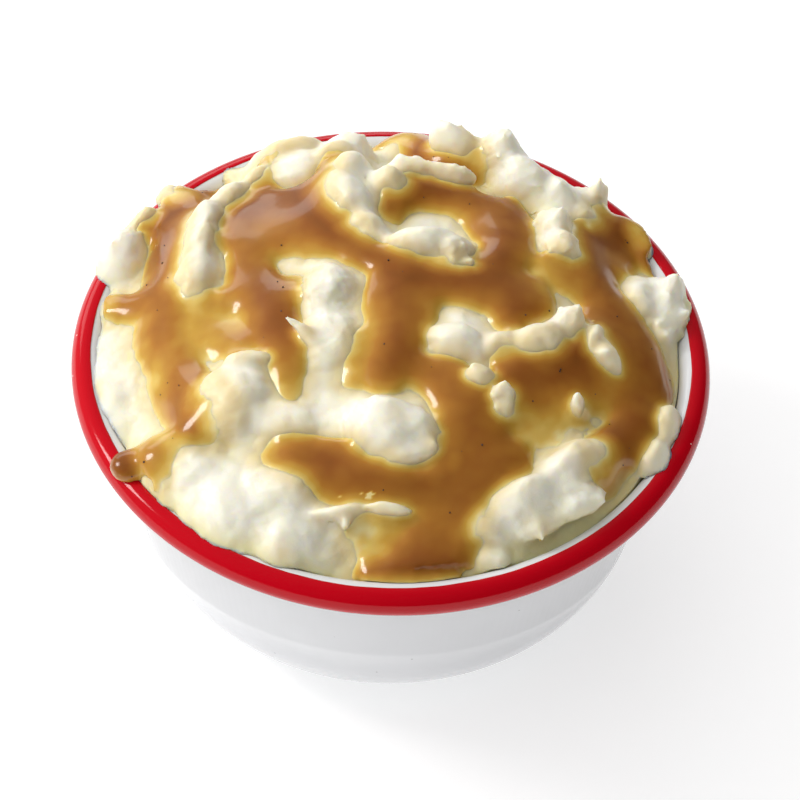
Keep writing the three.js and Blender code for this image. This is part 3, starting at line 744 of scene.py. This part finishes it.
bpy.ops.object.select_all(action="DESELECT")
bpy.ops.mesh.primitive_grid_add(x_subdivisions=2 * half_cells, y_subdivisions=2 * half_cells,
                                size=2 * half_cells * GRAVY_CELL * MM, location=(0, 0, RIM_HEIGHT))
gravy = bpy.context.object
gravy.name = gravy.data.name = "gravy_pour"
bpy.ops.object.transform_apply(location=True, rotation=True, scale=True)
places = np.empty(len(gravy.data.vertices) * 3)
gravy.data.vertices.foreach_get("co", places)
places = places.reshape(-1, 3)
column = np.rint(places[:, 0] / MM / GRAVY_CELL).astype(int) + half_cells
row = np.rint(places[:, 1] / MM / GRAVY_CELL).astype(int) + half_cells
places[:, 2] = RIM_HEIGHT + gravy_height[row, column] * MM
gravy.data.vertices.foreach_set("co", places.ravel())
away_from_pours = (depth[row, column] < KEPT_DIP) | (mash_height[row, column] < LOWEST_BED)
bpy.ops.object.mode_set(mode="EDIT")
bpy.ops.mesh.select_mode(type="VERT")
bpy.ops.object.mode_set(mode="OBJECT")
gravy.data.vertices.foreach_set("select", away_from_pours)
for edge in gravy.data.edges:
    edge.select = False
for face in gravy.data.polygons:
    face.select = False
bpy.ops.object.mode_set(mode="EDIT")
bpy.ops.mesh.delete(type="VERT")
bpy.ops.object.mode_set(mode="OBJECT")
modifier(gravy, "SOLIDIFY", thickness=SKIN, offset=-1)

# the drip: a tongue of gravy that runs over the roll and ends in a fat drop on its top, and
# the foot of the front tail, which has run up against the roll
RIM_DRIP = [(-40.5, -30.5, 1.6, 3.2), (-42.5, -31.0, 2.4, 3.4), (-44.2, -31.4, 3.0, 3.5),
            (-45.6, -31.7, 3.3, 3.5), (-46.9, -32.1, 3.2, 3.4)]
TAIL_FOOT = [(-1.2, -52.4, 0.6, 2.9), (1.0, -52.6, 0.9, 3.1), (3.2, -52.7, 0.9, 3.1),
             (5.4, -52.6, 0.9, 3.1), (7.6, -52.3, 0.8, 3.0), (9.8, -51.9, 0.7, 3.0),
             (11.8, -51.4, 0.4, 2.8)]
for x, y, height, size in RIM_DRIP + TAIL_FOOT:
    bpy.ops.mesh.primitive_uv_sphere_add(segments=24, ring_count=14, radius=1,
                                         location=on_heap(x, y, height + 0.6),
                                         scale=(size * MM, size * MM, size * 0.72 * MM))
    bpy.context.object.name = "drip_drop"
join_into(gravy, ("drip_drop",))
modifier(gravy, "REMESH", mode="VOXEL", voxel_size=0.55 * MM)
modifier(gravy, "SMOOTH", factor=0.5, iterations=9)
rest_in_bowl(gravy, clearance=0.03 * MM, drapes=True)
bpy.ops.object.shade_smooth()


def cover_over(piece, *under):
    """How deep each vertex of a piece lies over the pieces under it, in millimetres."""
    graph = bpy.context.evaluated_depsgraph_get()
    trees = [BVHTree.FromObject(other, graph) for other in under]
    deep = []
    for vertex in piece.data.vertices:
        nearest = 9.0
        for tree in trees:
            place, normal, _, away = tree.find_nearest(vertex.co)
            if (vertex.co - place).dot(normal) < 0:
                away = 0
            nearest = min(nearest, away / MM)
        deep.append(nearest)
    return deep


attribute_of(gravy, "depth", cover_over(gravy, mash, bowl))


def nearness(piece, other, spread):
    """1 where a piece's vertex touches another piece, falling to 0 with distance."""
    tree = BVHTree.FromObject(other, bpy.context.evaluated_depsgraph_get())
    found = []
    for vertex in piece.data.vertices:
        away = tree.find_nearest(vertex.co)[3]
        found.append(math.exp(-(away / MM / spread) ** 1.5))
    return found


def hollow_depth(piece, evened_heights):
    """How far each vertex lies below the evened surface: 0 on crests, 1 in hollows 3 mm deep."""
    found = []
    for vertex in piece.data.vertices:
        i = int(round(vertex.co.x / MM / GRAVY_CELL)) + half_cells
        j = int(round(vertex.co.y / MM / GRAVY_CELL)) + half_cells
        below = evened_heights[min(j, 2 * half_cells), min(i, 2 * half_cells)] \
            - (vertex.co.z - RIM_HEIGHT) / MM
        found.append(min(1.0, max(0.0, below / 3)))
    return found


attribute_of(mash, "stain", nearness(mash, gravy, 1.5))
# painted shade: each mash vertex keeps how deep it lies in a hollow, and the mash is coloured darker and
# yellower there, standing in for the shade that gathers in its creases
attribute_of(mash, "hollow", hollow_depth(mash, evened(mash_height, 3.2)))


def wet_grain(tree, scale_mm, strength, distance_mm):
    """A bump of fine grain on object coordinates."""
    place = tree.nodes.new("ShaderNodeTexCoord")
    grain = tree.nodes.new("ShaderNodeTexNoise")
    grain.inputs["Scale"].default_value = 1 / (scale_mm * MM)
    grain.inputs["Detail"].default_value = 3
    grain.inputs["Roughness"].default_value = 0.6
    tree.links.new(place.outputs["Object"], grain.inputs["Vector"])
    bump = tree.nodes.new("ShaderNodeBump")
    bump.inputs["Strength"].default_value = strength
    bump.inputs["Distance"].default_value = distance_mm * MM
    tree.links.new(grain.outputs["Fac"], bump.inputs["Height"])
    return place, grain, bump


mash_material = bpy.data.materials.new("mash")
mash_material.use_nodes = True
tree = mash_material.node_tree
shader = tree.nodes["Principled BSDF"]
place, _, bump = wet_grain(tree, 0.7, 0.5, 0.12)
cloud = tree.nodes.new("ShaderNodeTexNoise")
cloud.inputs["Scale"].default_value = 1 / (9 * MM)
cloud.inputs["Detail"].default_value = 3
tree.links.new(place.outputs["Object"], cloud.inputs["Vector"])
hollow = tree.nodes.new("ShaderNodeAttribute")
hollow.attribute_name = "hollow"
mottle = math_node(tree, "MULTIPLY_ADD")
mottle.inputs[1].default_value = 0.5
mottle.inputs[2].default_value = -0.25
tree.links.new(cloud.outputs["Fac"], mottle.inputs[0])
shaded = math_node(tree, "ADD")
shaded.use_clamp = True
tree.links.new(mottle.outputs[0], shaded.inputs[0])
tree.links.new(hollow.outputs["Fac"], shaded.inputs[1])
# the colour runs from cream on the crests to a darker olive yellow in the hollows: painted shade in the
# creases, with a random mottle of tone laid over it
cream_and_hollow_shade = tree.nodes.new("ShaderNodeValToRGB")
cream_and_hollow_shade.color_ramp.elements[0].position = 0.0
cream_and_hollow_shade.color_ramp.elements[0].color = (0.88, 0.855, 0.74, 1)
cream_and_hollow_shade.color_ramp.elements[1].position = 0.9
cream_and_hollow_shade.color_ramp.elements[1].color = (0.80, 0.745, 0.44, 1)
tree.links.new(shaded.outputs[0], cream_and_hollow_shade.inputs["Fac"])
stain = tree.nodes.new("ShaderNodeAttribute")
stain.attribute_name = "stain"
stained = tree.nodes.new("ShaderNodeMix")
stained.data_type = "RGBA"
stained.inputs["B"].default_value = (0.74, 0.58, 0.26, 1)
weaker = math_node(tree, "MULTIPLY")
weaker.inputs[1].default_value = 0.8
tree.links.new(stain.outputs["Fac"], weaker.inputs[0])
tree.links.new(weaker.outputs[0], stained.inputs["Factor"])
tree.links.new(cream_and_hollow_shade.outputs["Color"], stained.inputs["A"])
tree.links.new(stained.outputs["Result"], shader.inputs["Base Color"])
tree.links.new(bump.outputs["Normal"], shader.inputs["Normal"])
shader.inputs["Roughness"].default_value = 0.48
shader.inputs["Subsurface Weight"].default_value = 0.9
shader.inputs["Subsurface Radius"].default_value = (1.0, 0.8, 0.4)
shader.inputs["Subsurface Scale"].default_value = 1.8 * MM
shader.inputs["Coat Weight"].default_value = 0.2
shader.inputs["Coat Roughness"].default_value = 0.28
mash.data.materials.clear()
mash.data.materials.append(mash_material)
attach(mash, "root")
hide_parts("mash")

gravy_material = bpy.data.materials.new("gravy")
gravy_material.use_nodes = True
tree = gravy_material.node_tree
shader = tree.nodes["Principled BSDF"]
place, _, bump = wet_grain(tree, 2.6, 0.2, 0.10)
depth_value = tree.nodes.new("ShaderNodeAttribute")
depth_value.attribute_name = "depth"
uneven = tree.nodes.new("ShaderNodeTexNoise")
uneven.inputs["Scale"].default_value = 1 / (6 * MM)
tree.links.new(place.outputs["Object"], uneven.inputs["Vector"])
spread = math_node(tree, "MULTIPLY_ADD")
spread.inputs[1].default_value = 0.10
tree.links.new(uneven.outputs["Fac"], spread.inputs[0])
scaled = math_node(tree, "MULTIPLY")
scaled.inputs[1].default_value = 0.2
tree.links.new(depth_value.outputs["Fac"], scaled.inputs[0])
tree.links.new(scaled.outputs[0], spread.inputs[2])
tint = tree.nodes.new("ShaderNodeValToRGB")
stops = [(0.04, (0.80, 0.68, 0.34)), (0.10, (0.70, 0.50, 0.13)), (0.20, (0.56, 0.32, 0.048)),
         (0.36, (0.42, 0.175, 0.022)), (0.58, (0.28, 0.09, 0.012)), (0.9, (0.15, 0.04, 0.006))]
ramp = tint.color_ramp
while len(ramp.elements) < len(stops):
    ramp.elements.new(0.5)
for element, (position, colour) in zip(ramp.elements, stops):
    element.position = position
    element.color = (*colour, 1)
tree.links.new(spread.outputs[0], tint.inputs["Fac"])
tree.links.new(tint.outputs["Color"], shader.inputs["Base Color"])
tree.links.new(bump.outputs["Normal"], shader.inputs["Normal"])
shader.inputs["Roughness"].default_value = 0.22
shader.inputs["Subsurface Weight"].default_value = 0.35
shader.inputs["Subsurface Radius"].default_value = (1.0, 0.45, 0.15)
shader.inputs["Subsurface Scale"].default_value = 1.5 * MM
shader.inputs["Specular IOR Level"].default_value = 0.25
shader.inputs["Coat Weight"].default_value = 0.42
shader.inputs["Coat Roughness"].default_value = 0.07
gravy.data.materials.clear()
gravy.data.materials.append(gravy_material)
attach(gravy, "root")
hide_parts("gravy", "gravy_back_puddle")


# ---------------------------------------------------------------- pepper
# A little ground black pepper in the gravy: angular dark specks, half sunk in its surface.
# One speck is cut from a ball and copied to places on the upper side of the gravy.

bpy.ops.object.select_all(action="DESELECT")
bpy.ops.mesh.primitive_ico_sphere_add(subdivisions=1, radius=0.24 * MM, location=(0, 0, 0))
speck = bpy.context.object
speck.name = speck.data.name = "pepper_speck"
bpy.ops.object.mode_set(mode="EDIT")
bpy.ops.mesh.select_all(action="SELECT")
bpy.ops.transform.vertex_random(offset=0.06 * MM, seed=4)
bpy.ops.object.mode_set(mode="OBJECT")
upper = [v for v, deep in zip(gravy.data.vertices, gravy.data.attributes["depth"].data)
         if v.normal.z > 0.3 and deep.value > 0.7]
chance = random.Random(21)
for spot in chance.sample(upper, 46):
    copy = bpy.data.objects.new("pepper_copy", speck.data.copy())
    size = chance.uniform(0.45, 1.15)
    turn = Euler([chance.uniform(0, math.tau) for _ in range(3)])
    copy.data.transform(Matrix.LocRotScale(spot.co, turn, Vector((size, size, size * 0.8))))
    bpy.context.collection.objects.link(copy)
    copy.select_set(True)
bpy.data.objects.remove(speck)
bpy.context.view_layer.objects.active = copy
bpy.ops.object.join()
pepper = bpy.context.object
pepper.name = pepper.data.name = "pepper_specks"
pepper_material = bpy.data.materials.new("ground_pepper")
pepper_material.use_nodes = True
tree = pepper_material.node_tree
shader = tree.nodes["Principled BSDF"]
_, grain, bump = wet_grain(tree, 0.3, 0.6, 0.05)
husk = tree.nodes.new("ShaderNodeValToRGB")
husk.color_ramp.elements[0].color = (0.015, 0.008, 0.004, 1)
husk.color_ramp.elements[1].color = (0.09, 0.04, 0.015, 1)
tree.links.new(grain.outputs["Fac"], husk.inputs["Fac"])
tree.links.new(husk.outputs["Color"], shader.inputs["Base Color"])
tree.links.new(bump.outputs["Normal"], shader.inputs["Normal"])
shader.inputs["Roughness"].default_value = 0.4
pepper.data.materials.append(pepper_material)
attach(pepper, "root")


# ---------------------------------------------------------------- floor and light
# A plain white table that runs out of sight, white surroundings, and one large soft window
# light from the left and a little behind.

bpy.ops.object.select_all(action="DESELECT")
bpy.ops.mesh.primitive_plane_add(size=6, location=(0, 0, -0.0002))
floor = bpy.context.object
floor.name = floor.data.name = "white_table"
floor_material = bpy.data.materials.new("white_table")
floor_material.use_nodes = True
shader = floor_material.node_tree.nodes["Principled BSDF"]
shader.inputs["Base Color"].default_value = (0.62, 0.62, 0.62, 1)
shader.inputs["Roughness"].default_value = 0.9
shader.inputs["Specular IOR Level"].default_value = 0
shader.inputs["Emission Color"].default_value = (1, 1, 1, 1)
shader.inputs["Emission Strength"].default_value = 0.49
floor.data.materials.append(floor_material)

world = bpy.data.worlds.new("white_surroundings")
bpy.context.scene.world = world
world.use_nodes = True
tree = world.node_tree
fill = tree.nodes["Background"]
direction = tree.nodes.new("ShaderNodeTexCoord")
parts = tree.nodes.new("ShaderNodeSeparateXYZ")
tree.links.new(direction.outputs["Generated"], parts.inputs["Vector"])
# what the glaze and the gravy mirror: light at the back left, dark towards the front right
across = math_node(tree, "SUBTRACT")
tree.links.new(parts.outputs["Y"], across.inputs[0])
tree.links.new(parts.outputs["X"], across.inputs[1])
room = tree.nodes.new("ShaderNodeMapRange")
room.inputs["From Min"].default_value = -0.2
room.inputs["From Max"].default_value = 1.6
room.inputs["To Min"].default_value = 0.03
room.inputs["To Max"].default_value = 0.42
tree.links.new(across.outputs[0], room.inputs["Value"])
# what lights it softly: strongest from above and the left, weakest from the right
above = math_node(tree, "MULTIPLY_ADD")
above.inputs[1].default_value = -1.2
tree.links.new(parts.outputs["X"], above.inputs[0])
tree.links.new(parts.outputs["Z"], above.inputs[2])
behind = math_node(tree, "MULTIPLY_ADD")
behind.inputs[1].default_value = 0.2
tree.links.new(parts.outputs["Y"], behind.inputs[0])
tree.links.new(above.outputs[0], behind.inputs[2])
sky = tree.nodes.new("ShaderNodeMapRange")
sky.inputs["From Min"].default_value = -0.4
sky.inputs["From Max"].default_value = 1.4
sky.inputs["To Min"].default_value = 0.04
sky.inputs["To Max"].default_value = 1.42
tree.links.new(behind.outputs[0], sky.inputs["Value"])
seen = tree.nodes.new("ShaderNodeLightPath")
strength = tree.nodes.new("ShaderNodeMix")
tree.links.new(seen.outputs["Is Diffuse Ray"], strength.inputs["Factor"])
tree.links.new(room.outputs["Result"], strength.inputs["A"])
tree.links.new(sky.outputs["Result"], strength.inputs["B"])
tree.links.new(strength.outputs["Result"], fill.inputs["Strength"])
fill.inputs["Color"].default_value = (1, 1, 1, 1)
backdrop = tree.nodes.new("ShaderNodeBackground")
backdrop.inputs["Color"].default_value = (1, 1, 1, 1)
backdrop.inputs["Strength"].default_value = 1.0
shown = tree.nodes.new("ShaderNodeMixShader")
tree.links.new(seen.outputs["Is Camera Ray"], shown.inputs["Fac"])
tree.links.new(fill.outputs["Background"], shown.inputs[1])
tree.links.new(backdrop.outputs["Background"], shown.inputs[2])
tree.links.new(shown.outputs["Shader"], tree.nodes["World Output"].inputs["Surface"])

key_height = math.radians(37)
key_round = math.radians(170)
key_from = Vector((math.cos(key_height) * math.cos(key_round),
                   math.cos(key_height) * math.sin(key_round), math.sin(key_height)))
bpy.ops.object.light_add(type="AREA", location=key_from * 1.1 + Vector((0, 0, RIM_HEIGHT)))
key = bpy.context.object
key.name = "window_light"
key.rotation_euler = (-key_from).to_track_quat("-Z", "Y").to_euler()
key.data.size = 0.32
key.data.energy = 5.0
key.data.color = (1.0, 0.985, 0.96)

# a white panel high at the back, which the wet gravy and the enamel mirror
panel_from = Vector((-0.40, 0.95, 0.42))
bpy.ops.object.light_add(type="AREA", location=panel_from + Vector((0, 0, RIM_HEIGHT)))
panel = bpy.context.object
panel.name = "back_panel"
panel.rotation_euler = (-panel_from).to_track_quat("-Z", "Y").to_euler()
panel.data.shape = "RECTANGLE"
panel.data.size = 0.9
panel.data.size_y = 0.35
panel.data.energy = 1.9

bpy.context.scene.view_settings.view_transform = "Standard"
bpy.context.scene.view_settings.look = "None"
bpy.context.scene.view_settings.exposure = 0
bpy.context.scene.view_settings.gamma = 1
